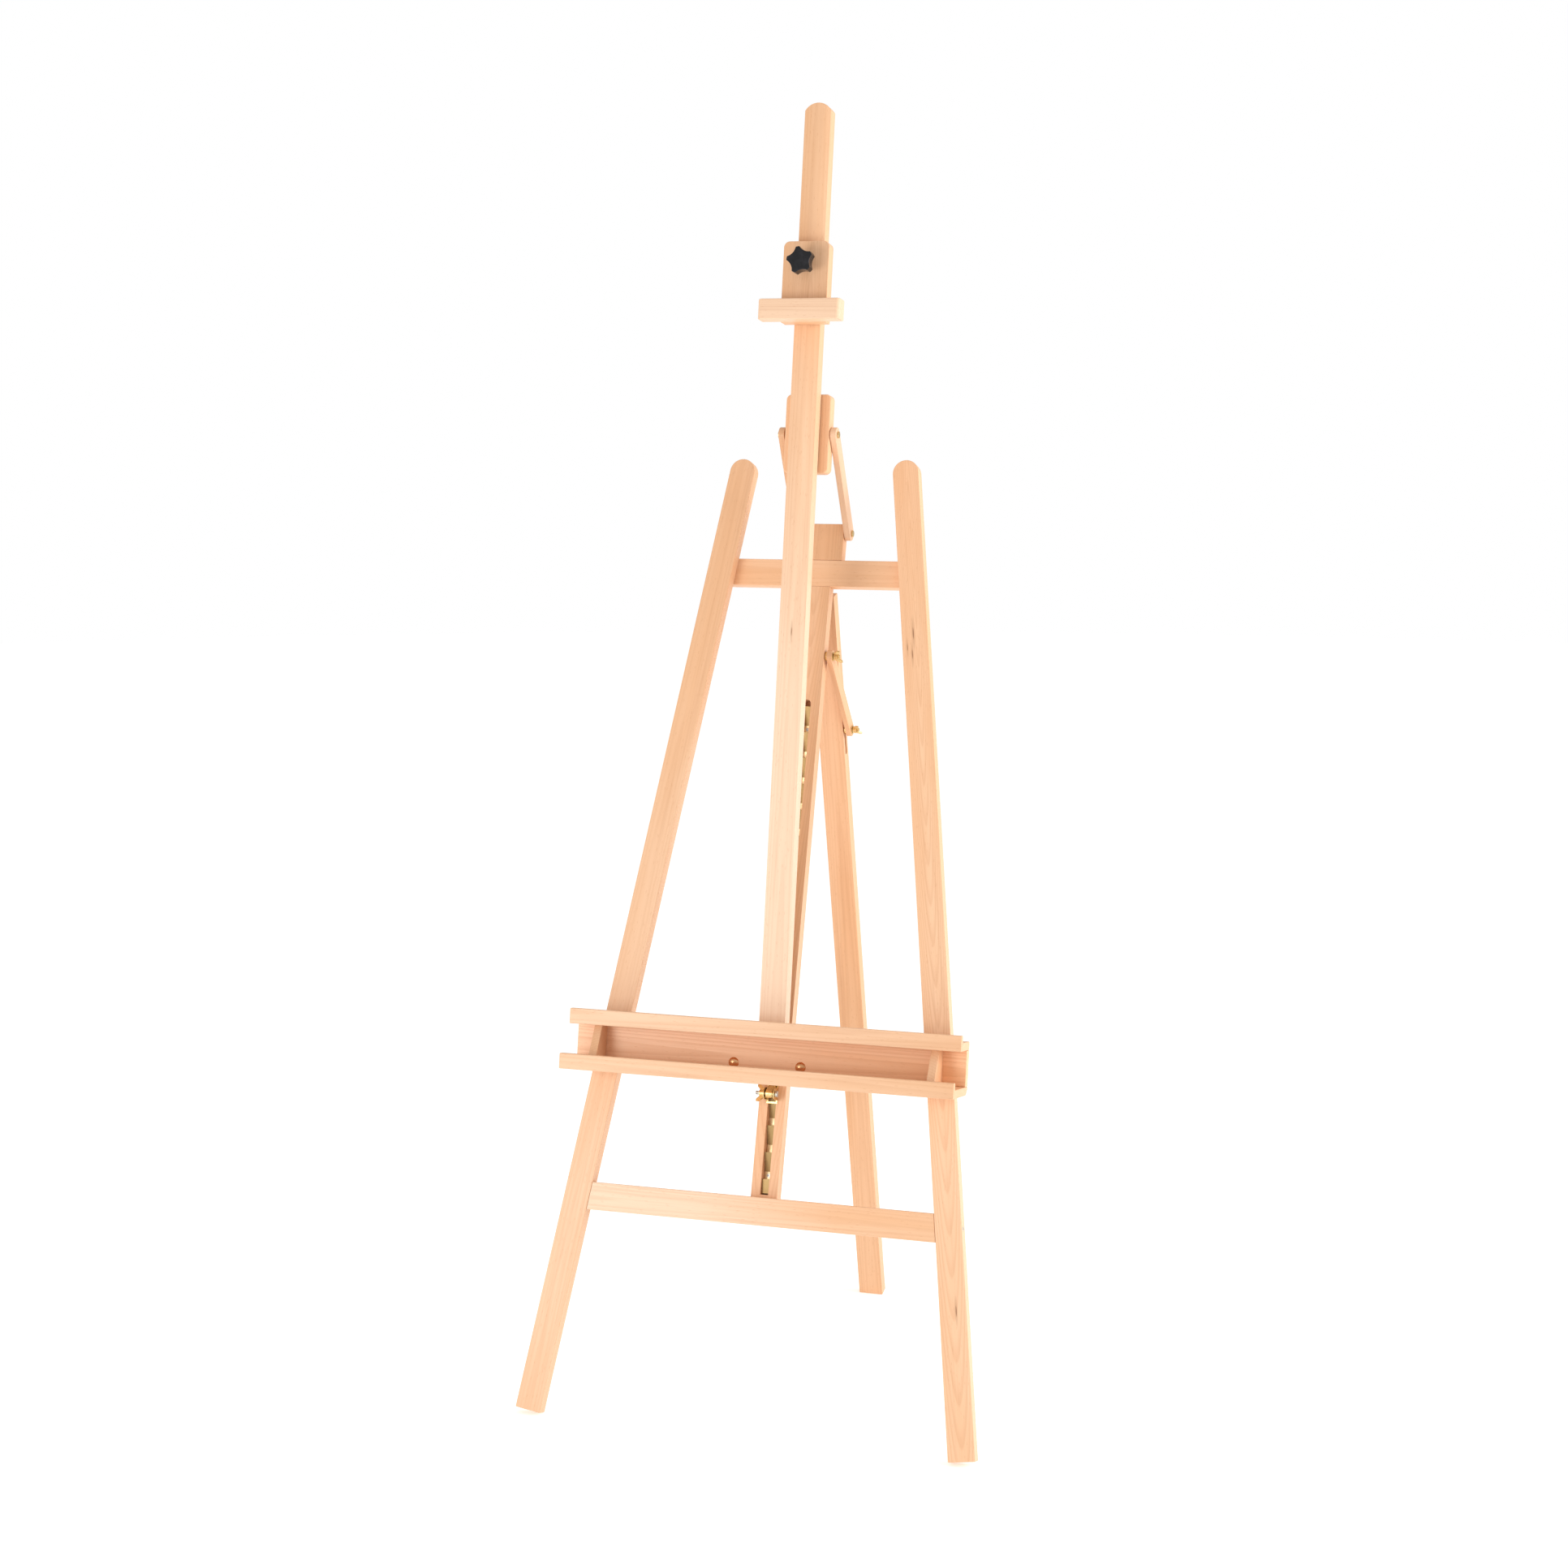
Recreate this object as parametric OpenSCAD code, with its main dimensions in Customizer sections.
// Wooden artist easel: an A-shaped front frame with a ratchet column, a folding rear leg
// held by a strut, and a tilting mast that carries the tray and the top canvas clip.
// Units are millimetres. +Z is up, -Y is the painter's side, X runs along the tray.
// The origin is on the floor, in the middle of the whole easel's footprint.

/* [Front frame] */
// Width of the legs' front faces
leg_w = 40; // [34:1:46]
// Thickness of the frame boards
board_t = 20; // [18:1:22]
// Length of each front leg
leg_len = 1470; // [1440:5:1500]
// Distance from the middle to the centre of each foot
foot_half = 331.5; // [320:0.5:345]
// How far the front frame leans back, in degrees
lean = 16.5; // [15:0.5:18]
// How far each front leg is splayed from the upright, in degrees
splay = 8; // [7.5:0.25:8.5]

/* [Crossbars and column] */
// Height of both crossbars, measured up the slope
bar_h = 41; // [36:1:44]
// Bottom edge of the lower crossbar, up the slope
lower_bar_z = 301; // [290:1:315]
// Bottom edge of the upper crossbar, up the slope
upper_bar_z = 1263; // [1250:1:1275]
// Width of the ratchet column
column_w = 40.5; // [38:0.5:42]
// Width of the groove for the ratchet strip
groove_w = 12.4; // [11:0.2:14]
// Distance between two ratchet teeth
tooth_pitch = 39.4; // [36:0.2:39.6]
// Number of ratchet teeth
tooth_count = 18; // [12:1:18]
// Width and height of the block above the upper crossbar
head_size = [70, 56.5]; // [50:0.5:80]

/* [Rear leg and strut] */
// Angle between the rear leg and the front frame, in degrees
rear_open = 30.3; // [28:0.1:32]
// Width of the rear leg
rear_w = 40; // [36:1:42]
// Width of the wooden strut
strut_w = 20; // [16:1:22]
// Thickness of the wooden strut
strut_t = 8; // [6:0.5:9]

/* [Mast] */
// Width of the mast
mast_w = 40; // [36:1:41]
// Thickness of the mast
mast_t = 22; // [20:1:24]
// Height of the mast's top above the tray hinge, along the mast
mast_top = 1411; // [1380:1:1440]
// How far the mast stands forward of the front frame's slope, in degrees
mast_open = 7; // [6:0.5:8]

/* [Tray] */
// Length of the tray
tray_len = 600; // [500:10:640]
// Thickness of the tray's two shelves
shelf_t = 12.5; // [10:0.5:14]
// Height and thickness of the tray's two lips
lip_size = [23, 10]; // [8:1:26]
// Distance of each divider from the tray's end
divider_inset = 35; // [20:1:60]

/* [Top clip] */
// Width and height of the clip's plate
clip_plate_size = [70, 120]; // [60:1:130]
// Width, depth and height of the clip's crossbar
clip_bar_size = [126, 25, 30.5]; // [20:0.5:140]
// Diameter across the lobes of both star knobs
knob_d = 40; // [34:1:44]

/* [Tilt linkage] */
// Width, thickness and height of the block behind the mast
tilt_block_size = [70, 22, 118]; // [20:1:130]
// Centre of the tilt block above the tray hinge, along the mast
tilt_block_z = 922; // [900:1:940]
// Width of each tilt arm
arm_w = 22; // [20:1:24]
// Thickness of each tilt arm
arm_t = 9.6; // [8:0.2:10]

/* [Hidden] */
$fn = 48;
eps = 0.01;

// Frame of the front boards: x across, y back through the thickness, z up the slope.
foot_drop = leg_w / 2 * sin(splay);
foot_rise = board_t * sin(lean) + foot_drop * cos(lean);
back_y = 2 * board_t;

// Rear hinge pin, in the front frame's coordinates, and the rear leg's own length.
pin_y = back_y + 4;
pin_z = upper_bar_z - 6;
pin_rise = foot_rise - pin_y * sin(lean) + pin_z * cos(lean);
pin_depth = pin_y * cos(lean) + pin_z * sin(lean);
rear_lean = rear_open - lean;
rear_face = -1;
rear_top = -4.5;
rear_len = (pin_rise + rear_face * sin(rear_lean)) / cos(rear_lean);

// Footprint, which puts the origin in the middle of the depth.
front_edge = -foot_drop * sin(lean);
rear_edge = pin_depth + (rear_face + board_t) * cos(rear_lean) + rear_len * sin(rear_lean);
depth_shift = (front_edge + rear_edge) / 2;

// Tray hinge, in the front frame's coordinates.
hinge_y = 2.5;
hinge_z = 552;

// Ratchet: the teeth's front and back depths, and the first tooth's ledge.
tooth_front = back_y - 16;
tooth_back = back_y - 6;
tooth_flat = 11;
first_tooth = 369;
groove_floor = back_y - 3.8;
groove_bottom = lower_bar_z + bar_h + 4;
groove_top = 1088;
sheet_t = 1.6;
pawl_y = 6;
pawl_z = first_tooth + 3 * tooth_pitch + 6.8;
pawl_lift = 56;

// Strut: top pivot in the front frame, lower bolt in the rear leg.
strut_pivot_y = board_t * 1.5;
strut_pivot_z = 1157;
slot_bolt_y = rear_face + board_t / 2;
slot_bolt_z = -223.5;
bolt_back = pin_y + slot_bolt_y * cos(rear_open) - slot_bolt_z * sin(rear_open);
bolt_up = pin_z + slot_bolt_y * sin(rear_open) + slot_bolt_z * cos(rear_open);
strut_run = bolt_back - strut_pivot_y;
strut_fall = strut_pivot_z - bolt_up;
strut_len = sqrt(strut_run * strut_run + strut_fall * strut_fall);
strut_angle = atan2(strut_run, strut_fall);
strut_x = rear_w / 2 + 4;
slot_travel = 36;

// Mast, tray and clip depths, measured back from the middle of the mast's thickness.
mast_front = -mast_t / 2;
mast_back = mast_t / 2;
web_t = 14;
web_front = mast_front - web_t;
tray_bottom = -37;
tray_rail = 65;
lower_lip_front = mast_front - 84;
upper_lip_front = mast_front - 51;
bolt_x = 51.5;
bolt_z = -14.5;
plate_bottom = 1079.5;
plate_front = mast_front - 23;
knob_z = 1165;

// Track in the mast's back for the tilt block's T-bolt.
track_bottom = 655;
track_top = 1030;
track_neck = 8.6;
track_cavity = 13.2;
track_floor = -3.5;
track_lip = 6.5;
t_bolt_z = tilt_block_z - 32;

// Tilt linkage: shaft centres and the arms' length and angle.
block_gap = 3;
block_front = mast_back + block_gap;
shaft_r = 4;
running = 0.05;
block_shaft_y = block_front + tilt_block_size[1] / 2;
head_shaft_y = board_t * 1.5;
head_shaft_z = 1348;
joint_y = hinge_y + block_shaft_y * cos(mast_open) - tilt_block_z * sin(mast_open);
joint_z = hinge_z + block_shaft_y * sin(mast_open) + tilt_block_z * cos(mast_open);
arm_run = head_shaft_y - joint_y;
arm_rise = joint_z - head_shaft_z;
arm_len = sqrt(arm_run * arm_run + arm_rise * arm_rise);
arm_angle = atan2(arm_run, arm_rise);
arm_x = tilt_block_size[0] / 2 + 0.4;

// Woods and metals
beech = "#F3C49C";
beech_rear = "#EDB88C";
brass = "#C9A35C";
steel = "#B9B6AE";
black = "#1A1A1C";

// Places its children in the leaning front frame.
module front_frame() {
    translate([0, -depth_shift, foot_rise]) rotate([-lean, 0, 0]) children();
}

// Places its children on the rear leg, with the hinge pin as the origin.
module rear_frame() {
    front_frame() translate([0, pin_y, pin_z]) rotate([rear_open, 0, 0]) children();
}

// Places its children on the mast, with the tray hinge as the origin.
module mast_frame() {
    front_frame() translate([0, hinge_y, hinge_z]) rotate([mast_open, 0, 0]) children();
}

// Box from a low corner to a high corner.
module box(low, high) {
    translate(low) cube(high - low);
}

// Round bar along X, from x0 to x1, centred on y and z.
module bar_x(x0, x1, y, z, r) {
    translate([x0, y, z]) rotate([0, 90, 0]) cylinder(r = r, h = x1 - x0);
}

// Round bar along Y, from y0 to y1, centred on x and z.
module bar_y(y0, y1, x, z, r) {
    translate([x, y0, z]) rotate([-90, 0, 0]) cylinder(r = r, h = y1 - y0);
}

// Flat outline given in x and z, pushed back through y0 to y1.
module face_y(y0, y1) {
    translate([0, y1, 0]) rotate([90, 0, 0]) linear_extrude(y1 - y0) children();
}

// Side outline given in y and z, pushed sideways through x0 to x1.
module side_x(x0, x1) {
    translate([x0, 0, 0]) rotate([90, 0, 90]) linear_extrude(x1 - x0) children();
}

// Rectangle with round corners, from a low corner to a high corner.
module round_rect(low, high, r) {
    translate([low[0] + r, low[1]]) square([high[0] - low[0] - 2 * r, high[1] - low[1]]);
    translate([low[0], low[1] + r]) square([high[0] - low[0], high[1] - low[1] - 2 * r]);
    for (x = [low[0] + r, high[0] - r], z = [low[1] + r, high[1] - r])
        translate([x, z]) circle(r = r);
}

// Bar with two round ends, centred on the origin and on the point len above it.
module link_outline(len, w) {
    translate([-w / 2, 0]) square([w, len]);
    circle(d = w);
    translate([0, len]) circle(d = w);
}

// Countersunk screw with a cross recess, head at y = 0 and pointing to +Y.
module flat_screw(head_r, shank_r, len) {
    difference() {
        union() {
            rotate([-90, 0, 0]) cylinder(r1 = head_r, r2 = shank_r, h = head_r - shank_r);
            rotate([-90, 0, 0]) cylinder(r = shank_r, h = len);
        }
        for (turn = [0, 90])
            rotate([0, turn, 0]) box([-head_r * 0.6, -eps, -0.4], [head_r * 0.6, 0.9, 0.4]);
    }
}

// The hole that a flat_screw of the same size fills.
module screw_hole(head_r, shank_r, len) {
    translate([0, -eps, 0]) rotate([-90, 0, 0])
        cylinder(r1 = head_r + 0.1, r2 = shank_r + 0.05, h = head_r - shank_r + eps);
    rotate([-90, 0, 0]) cylinder(r = shank_r + 0.05, h = len + 0.3);
}

// Wing nut on an X axis bolt, from x = 0 outwards along +X, wings up and down.
module wing_nut(bore_r, span, depth) {
    hub_r = bore_r + 2.2;
    difference() {
        union() {
            bar_x(0, depth * 0.62, 0, 0, hub_r);
            for (s = [-1, 1])
                rotate([90, 0, 0]) translate([0, 0, -1.1]) linear_extrude(2.2)
                    polygon([
                        [0, s * (hub_r - 1)], [depth * 0.5, s * (hub_r - 1)],
                        [depth, s * span * 0.36], [depth, s * span * 0.5],
                        [depth * 0.62, s * span * 0.5], [depth * 0.1, s * span * 0.3]
                    ]);
        }
        bar_x(-1, depth + 1, 0, 0, bore_r + 0.05);
    }
}

// Star knob with five lobes, its back at y = 0 and its front at -Y.
module star_knob(hub_r, hub_len, head_len) {
    difference() {
        union() {
            bar_y(-hub_len - 2, 0, 0, 0, hub_r);
            bar_y(-hub_len - head_len, -hub_len, 0, 0, knob_d / 2);
        }
        for (lobe = [0:4])
            rotate([0, lobe * 72 + 25, 0])
                bar_y(-hub_len - head_len - 1, -hub_len + 1, 0, knob_d * 0.8, knob_d * 0.425);
    }
}

// One front leg; side is -1 for the left and 1 for the right.
module front_leg(side) {
    screw_z = (lower_bar_z + bar_h / 2) / cos(splay);
    front_frame() translate([side * foot_half, 0, 0]) rotate([0, -side * splay, 0])
        difference() {
            union() {
                box([-leg_w / 2, 0, 0], [leg_w / 2, board_t, leg_len - leg_w / 2]);
                bar_y(0, board_t, 0, leg_len - leg_w / 2, leg_w / 2);
            }
            leg_screw_places(side, screw_z) screw_hole(3.6, 1.8, leg_w + 30);
        }
}

// Places a screw's head on the outer side of a front leg.
module leg_screw_places(side, screw_z) {
    translate([side * leg_w / 2, board_t / 2, screw_z]) rotate([0, 0, side * 90]) children();
}

module left_front_leg() {
    color(beech) front_leg(-1);
}

module right_front_leg() {
    color(beech) front_leg(1);
}

// Inner side of a front leg at a height up the slope.
function inner_x(z) = foot_half - z * tan(splay) - leg_w / 2 / cos(splay);

// Outer side of a front leg at a height up the slope.
function outer_x(z) = foot_half - z * tan(splay) + leg_w / 2 / cos(splay);

module lower_crossbar() {
    z0 = lower_bar_z;
    z1 = lower_bar_z + bar_h;
    gap = 0.05;
    color(beech) difference() {
        front_frame() difference() {
            face_y(0, board_t - 0.02) polygon([
                [-inner_x(z0) + gap, z0], [inner_x(z0) - gap, z0],
                [inner_x(z1) - gap, z1], [-inner_x(z1) + gap, z1]
            ]);
            for (x = [-11, 11])
                translate([x, back_y, z0 + 16]) rotate([0, 0, 180])
                    screw_hole(4, 2, 34);
        }
        lower_screw_solids(0.05);
    }
}

module upper_crossbar() {
    z0 = upper_bar_z;
    z1 = upper_bar_z + bar_h;
    left_trim = 2;
    right_trim = 12;
    color(beech) front_frame() difference() {
        face_y(board_t + 0.02, back_y) polygon([
            [-outer_x(z0) + left_trim, z0], [outer_x(z0) - right_trim, z0],
            [outer_x(z1) - right_trim, z1], [-outer_x(z1) + left_trim, z1]
        ]);
        dowel_holes();
        upper_screw_places() screw_hole(4, 2, 34);
    }
}

// Two upright dowels that join the column, the crossbar and the head block.
dowel_x = 12;
dowel_r = 4;
dowel_z = [upper_bar_z - 14, upper_bar_z + bar_h + 30];

module dowel_holes() {
    for (x = [-dowel_x, dowel_x])
        translate([x, board_t * 1.5, dowel_z[0] - 0.5])
            cylinder(r = dowel_r + 0.05, h = dowel_z[1] - dowel_z[0] + 1);
}

module post_dowels() {
    color(beech) front_frame()
        for (x = [-dowel_x, dowel_x])
            translate([x, board_t * 1.5, dowel_z[0]])
                cylinder(r = dowel_r, h = dowel_z[1] - dowel_z[0]);
}

module head_block() {
    half = head_size[0] / 2;
    z0 = upper_bar_z + bar_h + 0.02;
    color(beech) front_frame() difference() {
        box([-half, board_t, z0], [half, back_y, z0 + head_size[1]]);
        dowel_holes();
        bar_x(-half - 1, half + 1, head_shaft_y, head_shaft_z, shaft_r + running);
    }
}

module ratchet_column() {
    color(beech) front_frame() difference() {
        box([-column_w / 2, board_t, lower_bar_z], [column_w / 2, back_y, upper_bar_z - 0.02]);
        box([-groove_w / 2, board_t - 1, groove_bottom],
            [groove_w / 2, groove_floor, groove_top - groove_w / 2]);
        bar_y(board_t - 1, groove_floor, 0, groove_top - groove_w / 2, groove_w / 2);
        dowel_holes();
        bar_x(-column_w, column_w, strut_pivot_y, strut_pivot_z, 3 + running);
        hinge_screw_places(1) screw_hole(2.6, 1.3, 14);
        ratchet_screw_places() screw_hole(2.6, 1.3, 4);
        for (x = [-11, 11])
            translate([x, back_y, lower_bar_z + 16]) rotate([0, 0, 180])
                screw_hole(4, 2, 34);
    }
}

function tooth_ledge(i) = first_tooth + i * tooth_pitch;

// Side outline of the folded ratchet strip: a ledge, a flat and a slope for each tooth.
function strip_front() = [for (i = [0:tooth_count - 1], p = [0:2])
    p == 0 ? [tooth_front, tooth_ledge(i)] :
    p == 1 ? [tooth_back, tooth_ledge(i)] : [tooth_back, tooth_ledge(i) + tooth_flat]];
function strip_back() = [for (i = [tooth_count - 1:-1:0], p = [2:-1:0])
    p == 0 ? [tooth_front + sheet_t, tooth_ledge(i) - sheet_t] :
    p == 1 ? [tooth_back + sheet_t, tooth_ledge(i) - sheet_t] :
    [tooth_back + sheet_t, tooth_ledge(i) + tooth_flat]];

module ratchet_strip() {
    half = groove_w / 2 - 0.4;
    last = tooth_ledge(tooth_count);
    foot = groove_bottom + 2;
    color(brass) front_frame() difference() {
        side_x(-half, half) polygon(concat(
            [[tooth_front + 2, foot]], strip_front(), [[tooth_front, last]],
            [[tooth_front + sheet_t, last]], strip_back(), [[tooth_front + 2 + sheet_t, foot]]
        ));
        ratchet_screw_places() screw_hole(2.6, 1.3, 4);
    }
}

// Places small screws on the flats of three teeth.
module ratchet_screw_places() {
    for (i = [0, 9, tooth_count - 1])
        translate([0, tooth_back, tooth_ledge(i) + 5.5]) children();
}

module ratchet_screws() {
    color(steel) front_frame() ratchet_screw_places() flat_screw(2.5, 1.3, 4);
}

// Long screws through the legs into the lower crossbar; grow widens them for the holes.
module lower_screw_solids(grow) {
    screw_z = (lower_bar_z + bar_h / 2) / cos(splay);
    front_frame() for (side = [-1, 1])
        translate([side * foot_half, 0, 0]) rotate([0, -side * splay, 0])
            leg_screw_places(side, screw_z)
                if (grow > 0) screw_hole(3.6, 1.8, leg_w + 30);
                else flat_screw(3.5, 1.8, leg_w + 28);
}

module lower_bar_screws() {
    color(steel) lower_screw_solids(0);
}

// Places screws from behind through the upper crossbar into the front legs.
module upper_screw_places() {
    for (side = [-1, 1], dz = [10, bar_h - 10])
        translate([side * (foot_half - (upper_bar_z + dz) * tan(splay)), back_y, upper_bar_z + dz])
            rotate([0, 0, 180]) children();
}

module upper_bar_screws() {
    color(steel) front_frame() upper_screw_places() flat_screw(3.9, 2, board_t - 0.5);
}

module column_screws() {
    color(steel) front_frame() for (x = [-11, 11])
        translate([x, back_y, lower_bar_z + 16]) rotate([0, 0, 180]) flat_screw(3.9, 2, 32);
}

// Butt hinge leaf: a plate below the pin and knuckles round it. The knuckles lie between
// the edges in pairs, and the plate is cut back where the other leaf's knuckles turn.
knuckle_r = 3.5;
hinge_half = 14;
leaf_len = 36;
leaf_t = 1.3;
knuckle_edges = [-14, -9, -3, 3, 9, 14];

module hinge_leaf(plate_y0, first) {
    gap = 0.3;
    difference() {
        union() {
            box([-hinge_half, plate_y0, -leaf_len], [hinge_half, plate_y0 + leaf_t, 0]);
            for (k = [first:2:4])
                bar_x(knuckle_edges[k] + gap / 2, knuckle_edges[k + 1] - gap / 2, 0, 0, knuckle_r);
        }
        for (k = [1 - first:2:4])
            box([knuckle_edges[k] - gap / 2, plate_y0 - 1, -knuckle_r - 0.6],
                [knuckle_edges[k + 1] + gap / 2, plate_y0 + leaf_t + 1, 1]);
        bar_x(-hinge_half - 1, hinge_half + 1, 0, 0, 2.05);
    }
}

// Places the hinge's screws; way is 1 for the column side and -1 for the rear leg side.
module hinge_screw_places(way) {
    y0 = way > 0 ? pin_y - 4 + leaf_t : rear_face - leaf_t;
    for (x = [-8, 8], z = [-30, -19])
        translate([x, y0, way > 0 ? pin_z + z : z]) rotate([0, 0, way > 0 ? 180 : 0]) children();
}

module hinge_frame_leaf() {
    color(steel) front_frame() difference() {
        translate([0, pin_y, pin_z]) hinge_leaf(-4, 0);
        hinge_screw_places(1) screw_hole(2.6, 1.3, 14);
    }
}

module hinge_leg_leaf() {
    color(steel) rear_frame() difference() {
        hinge_leaf(rear_face - leaf_t, 1);
        hinge_screw_places(-1) screw_hole(2.6, 1.3, 14);
    }
}

module hinge_pin() {
    color(steel) front_frame() bar_x(-hinge_half, hinge_half, pin_y, pin_z, 2);
}

module hinge_screws_frame() {
    color(steel) front_frame() hinge_screw_places(1) flat_screw(2.5, 1.3, 13);
}

module hinge_screws_leg() {
    color(steel) rear_frame() hinge_screw_places(-1) flat_screw(2.5, 1.3, 13);
}

module rear_leg() {
    slot_r = 3.8;
    low = slot_bolt_z - slot_travel - 0.9;
    high = slot_bolt_z + 0.9;
    color(beech_rear) rear_frame() difference() {
        box([-rear_w / 2, rear_face, -rear_len], [rear_w / 2, rear_face + board_t, rear_top]);
        box([-rear_w, slot_bolt_y - slot_r, low], [rear_w, slot_bolt_y + slot_r, high]);
        bar_x(-rear_w, rear_w, slot_bolt_y, low, slot_r);
        bar_x(-rear_w, rear_w, slot_bolt_y, high, slot_r);
        hinge_screw_places(-1) screw_hole(2.6, 1.3, 14);
    }
}

// Places its children on the strut, with the top pivot as the origin and +Z up the strut.
module strut_frame() {
    front_frame() translate([0, strut_pivot_y, strut_pivot_z]) rotate([strut_angle, 0, 0])
        children();
}

module spread_strut() {
    color(beech) strut_frame() difference() {
        side_x(strut_x, strut_x + strut_t) translate([0, -strut_len]) link_outline(strut_len, strut_w);
        for (z = [0, -strut_len])
            bar_x(strut_x - 1, strut_x + strut_t + 1, 0, z, 3 + running);
    }
}

module strut_top_bolt() {
    color(brass) front_frame() translate([0, strut_pivot_y, strut_pivot_z]) {
        bar_x(-column_w / 2 - 1, strut_x + strut_t + 11, 0, 0, 3);
        bar_x(-column_w / 2 - 3.6, -column_w / 2 - 0.05, 0, 0, 6.5);
    }
}

module strut_slot_bolt() {
    color(brass) strut_frame() translate([0, 0, -strut_len]) {
        bar_x(-rear_w / 2 - 1.5, strut_x + strut_t + 11, 0, 0, 3);
        bar_x(-rear_w / 2 - 4, -rear_w / 2 - 0.4, 0, 0, 6.5);
    }
}

module strut_washers() {
    color(brass) strut_frame() for (z = [0, -strut_len], x = [rear_w / 2 + 0.6, strut_x + strut_t + 0.02])
        difference() {
            bar_x(x, x + (x < strut_x ? 3.3 : 1.2), 0, z, 7);
            bar_x(x - 1, x + 5, 0, z, 3 + running);
        }
}

module strut_top_wing_nut() {
    color(brass) front_frame()
        translate([strut_x + strut_t + 1.6, strut_pivot_y, strut_pivot_z]) rotate([62, 0, 0])
            wing_nut(3, 26, 11);
}

module strut_slot_wing_nut() {
    color(brass) strut_frame()
        translate([strut_x + strut_t + 1.6, 0, -strut_len]) rotate([20, 0, 0])
            wing_nut(3, 26, 11);
}

// Bent steel strap that slides on the column and carries the tray hinge.
strap_in = column_w / 2 + 0.4;
strap_t = 2;
strap_z = [hinge_z - 34, hinge_z + 40];

module carriage_strap() {
    out = strap_in + strap_t;
    back = back_y + 0.5;
    ear_r = 9;
    color(brass) front_frame() difference() {
        union() {
            box([-out, back, strap_z[0]], [out, back + 1.8, strap_z[1]]);
            for (s = [-1, 1]) {
                x0 = s > 0 ? strap_in : -out;
                box([x0, 18, strap_z[0]], [x0 + strap_t, back + 1, strap_z[1]]);
                box([x0, hinge_y, hinge_z - ear_r], [x0 + strap_t, 18.5, hinge_z + ear_r]);
                bar_x(x0, x0 + strap_t, hinge_y, hinge_z, ear_r);
            }
        }
        bar_x(-out - 1, out + 1, hinge_y, hinge_z, 3 + running);
    }
}

// Folded plate in front of the column that holds the pawl's bolt below the tray.
module pawl_hanger() {
    plate_y = board_t - 1.3;
    tongue = 8.4;
    window = 5.8;
    ear_t = 1.6;
    low = pawl_z - 14;
    color(brass) front_frame() difference() {
        union() {
            box([-strap_in + 0.02, plate_y, hinge_z - 22], [strap_in - 0.02, plate_y + 1, strap_z[1]]);
            box([-tongue, plate_y, low], [tongue, plate_y + 1, hinge_z - 21]);
            for (x = [-tongue, tongue - ear_t]) {
                box([x, pawl_y, pawl_z - 9], [x + ear_t, plate_y + 0.5, pawl_z + 9]);
                bar_x(x, x + ear_t, pawl_y, pawl_z, 9);
            }
        }
        box([-window, plate_y - 1, low + 3], [window, plate_y + 2, hinge_z - 26]);
        bar_x(-tongue - 1, tongue + 1, pawl_y, pawl_z, 2.5 + running);
    }
}

module pawl_bolt() {
    color(steel) front_frame() {
        bar_x(-21.5, 9, pawl_y, pawl_z, 2.5);
        bar_x(8.5, 12, pawl_y, pawl_z, 4.6);
    }
}

module ratchet_pawl() {
    color(brass) front_frame() translate([0, pawl_y, pawl_z]) rotate([pawl_lift, 0, 0])
        difference() {
            union() {
                bar_x(-5, 5, 0, 0, 6.5);
                side_x(-5, 5) polygon([[0, 6.4], [24.5, -1], [24.5, -4.4], [0, -6.4]]);
            }
            bar_x(-6, 6, 0, 0, 2.5 + running);
        }
}

module pawl_wing_nut() {
    color(brass) front_frame() translate([-8.8, pawl_y, pawl_z]) rotate([0, 0, 180])
        rotate([12, 0, 0]) wing_nut(2.5, 26, 11);
}

module mast_pivot_pin() {
    out = strap_in + strap_t;
    color(steel) front_frame() {
        bar_x(-out - 1, out + 1, hinge_y, hinge_z, 3);
        for (x = [-out - 2, out + 0.1])
            bar_x(x, x + 1.9, hinge_y, hinge_z, 5);
    }
}

module mast() {
    top_r = 23;
    corner = top_r - sqrt(top_r * top_r - mast_w * mast_w / 4);
    color(beech) mast_frame() difference() {
        union() {
            box([-mast_w / 2, mast_front, -30], [mast_w / 2, mast_back, mast_top - corner]);
            intersection() {
                bar_y(mast_front, mast_back, 0, mast_top - top_r, top_r);
                box([-mast_w / 2, mast_front, mast_top - top_r], [mast_w / 2, mast_back, mast_top]);
            }
        }
        bar_x(-mast_w, mast_w, 0, 0, 3 + running);
        box([-track_neck / 2, track_lip - eps, track_bottom], [track_neck / 2, mast_back + 1, track_top]);
        box([-track_cavity / 2, track_floor, track_bottom], [track_cavity / 2, track_lip, track_top]);
        box([-track_cavity / 2, track_floor, track_bottom],
            [track_cavity / 2, mast_back + 1, track_bottom + 20]);
        mast_screw_places() screw_hole(4, 2, 30);
    }
}

// Places the screws that go through the mast's foot into the tray's web.
module mast_screw_places() {
    for (x = [-10, 10], z = [-16, 20])
        translate([x, mast_back, z]) rotate([0, 0, 180]) children();
}

module mast_screws() {
    color(steel) mast_frame() mast_screw_places() flat_screw(3.9, 2, 29);
}

module tray_web() {
    half = tray_len / 2;
    color(beech) mast_frame() difference() {
        box([-half, web_front, tray_bottom + shelf_t + 0.02],
            [half, mast_front - 0.02, tray_bottom + tray_rail - 0.02]);
        mast_screw_places() screw_hole(4, 2, 30);
        for (x = [-bolt_x, bolt_x])
            bar_y(web_front - 1, mast_front + 1, x, bolt_z, 3 + running);
    }
}

module tray_top_shelf() {
    half = tray_len / 2;
    z0 = tray_bottom + tray_rail;
    color(beech) mast_frame()
        box([-half, upper_lip_front + lip_size[1] + 0.02, z0], [half, mast_front - 0.3, z0 + shelf_t]);
}

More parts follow.
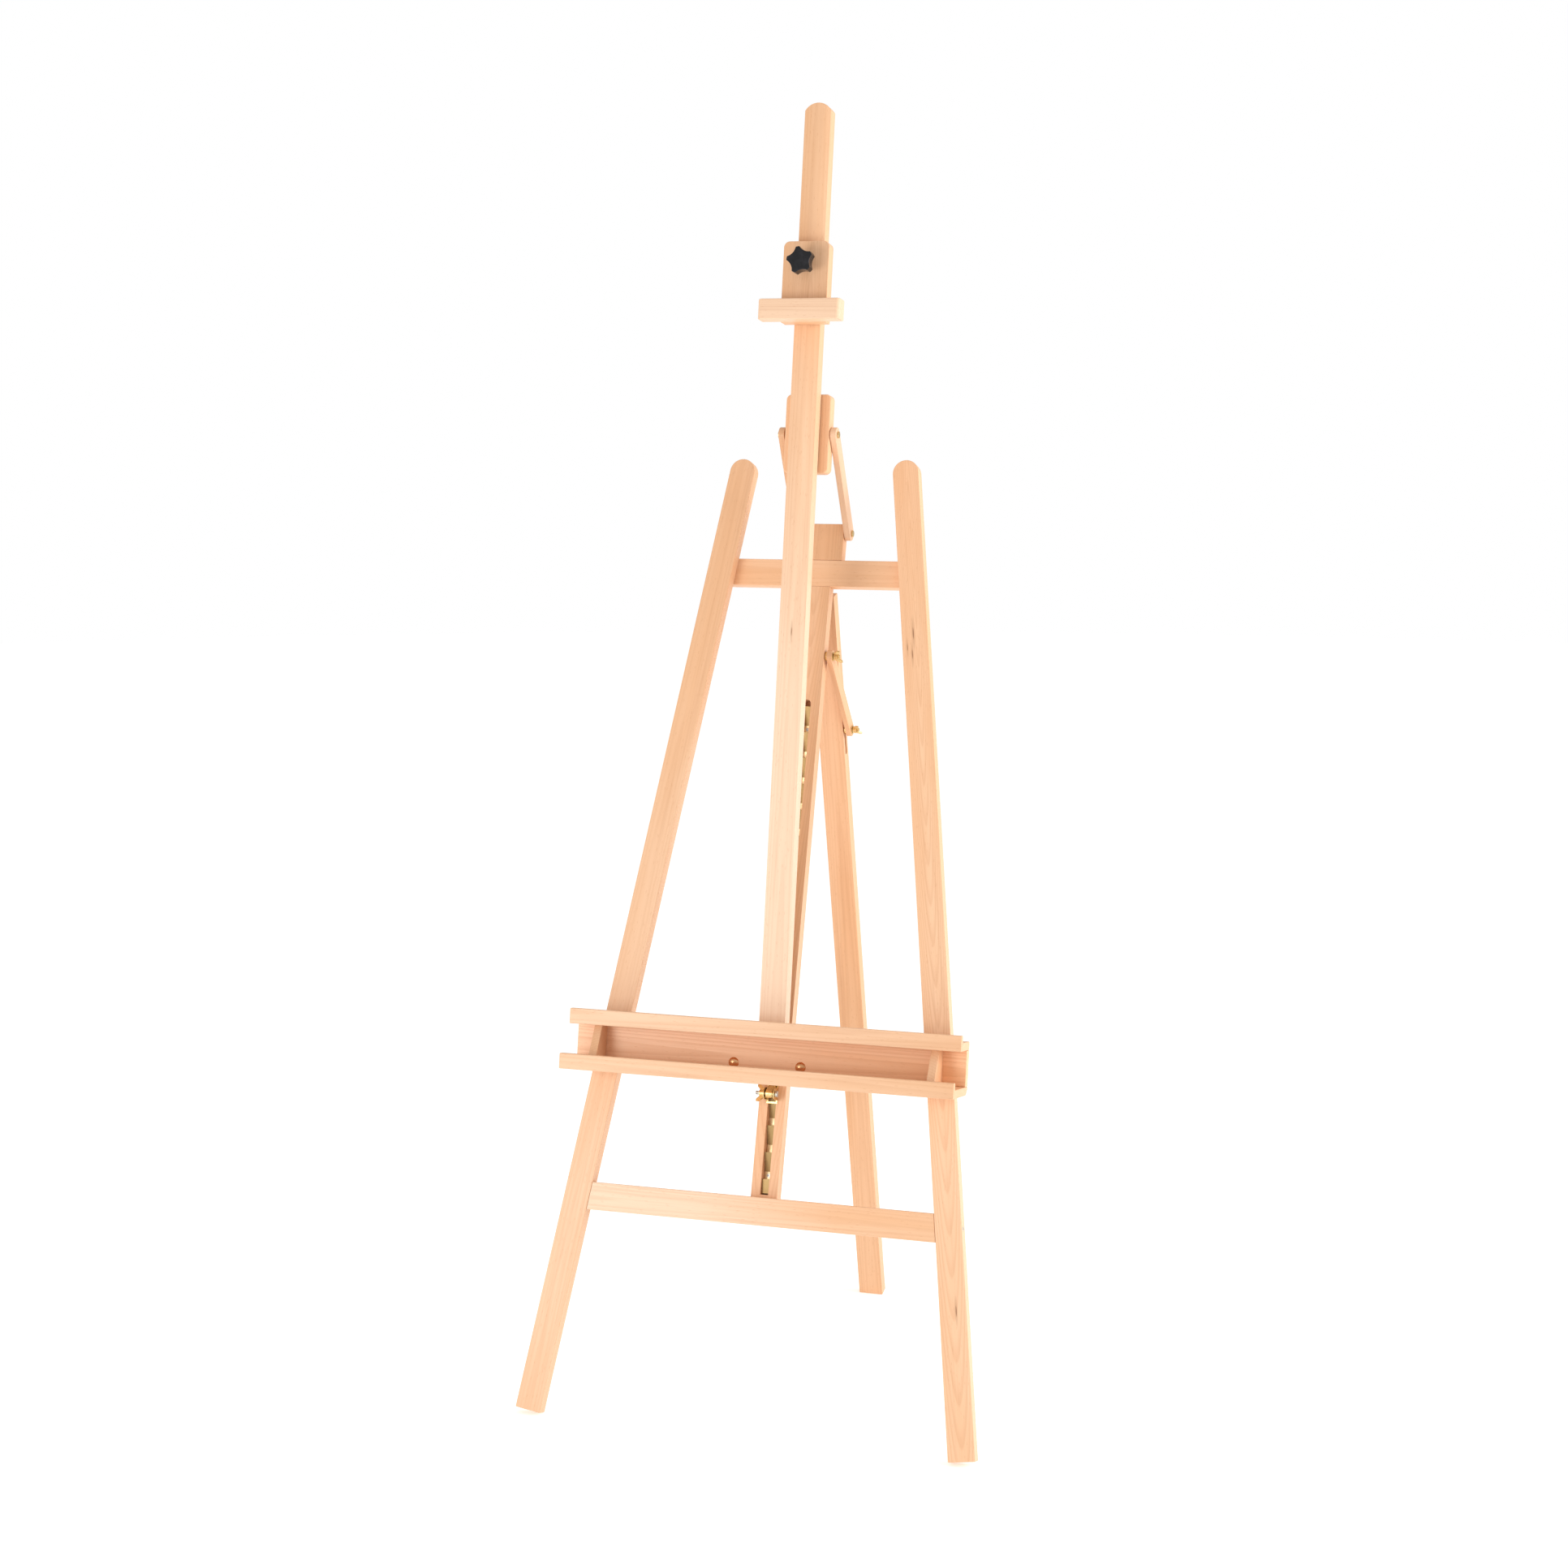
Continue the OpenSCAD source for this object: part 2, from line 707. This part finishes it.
module tray_bottom_shelf() {
    half = tray_len / 2;
    z0 = tray_bottom;
    y0 = lower_lip_front + lip_size[1] + 0.02;
    y1 = mast_front - 0.3;
    cut = 8;
    color(beech) mast_frame() side_x(-half, half)
        polygon([[y0, z0], [y1 - cut, z0], [y1, z0 + cut], [y1, z0 + shelf_t], [y0, z0 + shelf_t]]);
}

module tray_top_lip() {
    half = tray_len / 2;
    z0 = tray_bottom + tray_rail;
    color(beech) mast_frame() box([-half, upper_lip_front, z0],
        [half, upper_lip_front + lip_size[1], z0 + lip_size[0]]);
}

module tray_bottom_lip() {
    half = tray_len / 2;
    color(beech) mast_frame() box([-half, lower_lip_front, tray_bottom],
        [half, lower_lip_front + lip_size[1], tray_bottom + lip_size[0]]);
}

// Upright end piece between the shelves, with a slanted front edge.
module divider(side) {
    outer = tray_len / 2 - divider_inset;
    x0 = side > 0 ? outer - 12.5 : -outer;
    z0 = tray_bottom + shelf_t + 0.02;
    z1 = tray_bottom + tray_rail - 0.02;
    y1 = web_front - 0.02;
    color(beech) mast_frame() side_x(x0, x0 + 12.5)
        polygon([[y1 - 46, z0], [y1, z0], [y1, z1], [y1 - 22, z1]]);
}

module tray_left_divider() {
    divider(-1);
}

module tray_right_divider() {
    divider(1);
}

// Block behind the web beside the mast, with a pocket for the hinge pin's head.
module cheek(side) {
    near = strap_in + strap_t + 0.75;
    far = bolt_x + 7.5;
    pocket = near + 2;
    color(beech) mast_frame() difference() {
        box([side > 0 ? near : -far, mast_front + 0.02, -24],
            [side > 0 ? far : -near, mast_front + 20, 34]);
        box([side > 0 ? near - 1 : -pocket, -7, -7], [side > 0 ? pocket : -near + 1, 12, 7]);
        bar_y(mast_front - 1, mast_front + 21, side * bolt_x, bolt_z, 3 + running);
    }
}

module tray_left_cheek() {
    cheek(-1);
}

module tray_right_cheek() {
    cheek(1);
}

module tray_carriage_bolts() {
    dome_r = 8;
    dome_h = 3.8;
    ball_r = (dome_r * dome_r + dome_h * dome_h) / (2 * dome_h);
    color(brass) mast_frame() for (x = [-bolt_x, bolt_x]) {
        bar_y(web_front - 0.5, mast_front + 27, x, bolt_z, 3);
        intersection() {
            translate([x, web_front - dome_h + ball_r, bolt_z]) sphere(r = ball_r);
            bar_y(web_front - dome_h - 1, web_front - 0.02, x, bolt_z, dome_r);
        }
    }
}

module tray_bolt_nuts() {
    color(steel) mast_frame() for (x = [-bolt_x, bolt_x])
        difference() {
            union() {
                translate([x, mast_front + 21.3, bolt_z]) rotate([-90, 0, 0])
                    cylinder(r = 5.8, h = 5, $fn = 6);
                bar_y(mast_front + 20.05, mast_front + 21.3, x, bolt_z, 7.5);
            }
            bar_y(mast_front + 19, mast_front + 30, x, bolt_z, 3 + running);
        }
}

module clip_plate() {
    half = clip_plate_size[0] / 2;
    z1 = plate_bottom + clip_plate_size[1];
    color(beech) mast_frame() difference() {
        face_y(plate_front, mast_front - 0.3) {
            round_rect([-half, plate_bottom + 40], [half, z1], 9);
            translate([-half, plate_bottom]) square([2 * half, 80]);
        }
        bar_y(plate_front - 1, mast_front + 1, 0, knob_z, 7 + running);
        for (x = [-22.5, 20.3])
            box([x, plate_front + 10, knob_z - 15.1], [x + 2.2, mast_front, knob_z + 15.1]);
        clip_screw_places() screw_hole(3.4, 1.7, 36);
    }
}

// Places screws from the back of the plate into the clip's crossbar.
module clip_screw_places() {
    for (x = [-26, 26])
        translate([x, mast_front - 0.3, plate_bottom + clip_bar_size[2] / 2])
            rotate([0, 0, 180]) children();
}

module clip_bar() {
    half = clip_bar_size[0] / 2;
    y1 = plate_front - 0.02;
    y0 = plate_front - clip_bar_size[1];
    cut = 4;
    color(beech) mast_frame() difference() {
        translate([0, 0, plate_bottom]) linear_extrude(clip_bar_size[2])
            polygon([[-half, y1], [-half, y0 + cut], [-half + cut, y0], [half - cut, y0],
                     [half, y0 + cut], [half, y1]]);
        clip_screw_places() screw_hole(3.4, 1.7, 36);
    }
}

module clip_bar_screws() {
    color(steel) mast_frame() clip_screw_places() flat_screw(3.3, 1.7, 35);
}

module clip_strap() {
    inside = mast_w / 2 + 0.4;
    color(brass) mast_frame() {
        for (x = [-inside - 2, inside])
            box([x, plate_front + 10.1, knob_z - 15], [x + 2, mast_back + 2.5, knob_z + 15]);
        box([-inside - 2, mast_back + 0.5, knob_z - 15], [inside + 2, mast_back + 2.5, knob_z + 15]);
    }
}

module clip_insert() {
    color(brass) mast_frame() difference() {
        bar_y(plate_front + 0.5, mast_front - 2, 0, knob_z, 7);
        bar_y(plate_front - 1, mast_front + 1, 0, knob_z, 4 + running);
    }
}

module clip_knob() {
    color(black) mast_frame() translate([0, plate_front - 7, knob_z]) star_knob(9, 8, 17);
}

module clip_knob_screw() {
    color(steel) mast_frame() {
        bar_y(plate_front - 6.98, mast_front - 0.4, 0, knob_z, 4);
    }
}

// Places its children on the tilt arms, with the head shaft as the origin and +Z up the arm.
module arm_frame() {
    front_frame() translate([0, head_shaft_y, head_shaft_z]) rotate([arm_angle, 0, 0]) children();
}

module tilt_arm(side) {
    x0 = side > 0 ? arm_x : -arm_x - arm_t;
    color(beech) arm_frame() difference() {
        side_x(x0, x0 + arm_t) link_outline(arm_len, arm_w);
        for (z = [0, arm_len])
            bar_x(x0 - 1, x0 + arm_t + 1, 0, z, shaft_r + running);
    }
}

module left_tilt_arm() {
    tilt_arm(-1);
}

module right_tilt_arm() {
    tilt_arm(1);
}

// Round shaft through a block and both arms, with a thin head on each end.
module cross_shaft() {
    out = arm_x + arm_t;
    bar_x(-out - 1, out + 1, 0, 0, shaft_r);
    for (s = [-1, 1])
        bar_x(s > 0 ? out + 0.3 : -out - 2.3, s > 0 ? out + 2.3 : -out - 0.3, 0, 0, 5);
}

module head_shaft() {
    color(brass) arm_frame() cross_shaft();
}

module block_shaft() {
    color(brass) arm_frame() translate([0, 0, arm_len]) cross_shaft();
}

module tilt_block() {
    half = tilt_block_size[0] / 2;
    z0 = tilt_block_z - tilt_block_size[2] / 2;
    z1 = tilt_block_z + tilt_block_size[2] / 2;
    color(beech) mast_frame() difference() {
        face_y(block_front, block_front + tilt_block_size[1])
            round_rect([-half, z0], [half, z1], 8);
        bar_x(-half - 1, half + 1, block_shaft_y, tilt_block_z, shaft_r + running);
        bar_y(block_front - 1, block_front + tilt_block_size[1] + 1, 0, t_bolt_z, 4.2);
    }
}

module tilt_t_bolt() {
    back = block_front + tilt_block_size[1];
    color(steel) mast_frame() {
        box([-6.2, track_floor + 3, t_bolt_z - 9], [6.2, track_floor + 7, t_bolt_z + 9]);
        bar_y(track_floor + 6.5, back + 6, 0, t_bolt_z, 4);
    }
}

module tilt_knob() {
    back = block_front + tilt_block_size[1];
    color(black) mast_frame() translate([0, back + 0.5, t_bolt_z]) rotate([0, 0, 180])
        difference() {
            star_knob(9, 8, 17);
            bar_y(-6.5, 1, 0, 0, 4 + running);
        }
}

left_front_leg();
right_front_leg();
lower_crossbar();
upper_crossbar();
ratchet_column();
ratchet_strip();
ratchet_screws();
head_block();
post_dowels();
lower_bar_screws();
upper_bar_screws();
column_screws();
hinge_frame_leaf();
hinge_pin();
hinge_screws_frame();
rear_leg();
hinge_leg_leaf();
hinge_screws_leg();
strut_top_bolt();
strut_top_wing_nut();
spread_strut();
strut_slot_bolt();
strut_washers();
strut_slot_wing_nut();
carriage_strap();
pawl_hanger();
pawl_bolt();
ratchet_pawl();
pawl_wing_nut();
mast_pivot_pin();
mast();
mast_screws();
tray_web();
tray_top_shelf();
tray_bottom_shelf();
tray_top_lip();
tray_bottom_lip();
tray_left_divider();
tray_right_divider();
tray_left_cheek();
tray_right_cheek();
tray_carriage_bolts();
tray_bolt_nuts();
clip_plate();
clip_bar();
clip_strap();
clip_bar_screws();
clip_insert();
clip_knob();
clip_knob_screw();
head_shaft();
left_tilt_arm();
right_tilt_arm();
block_shaft();
tilt_block();
tilt_t_bolt();
tilt_knob();
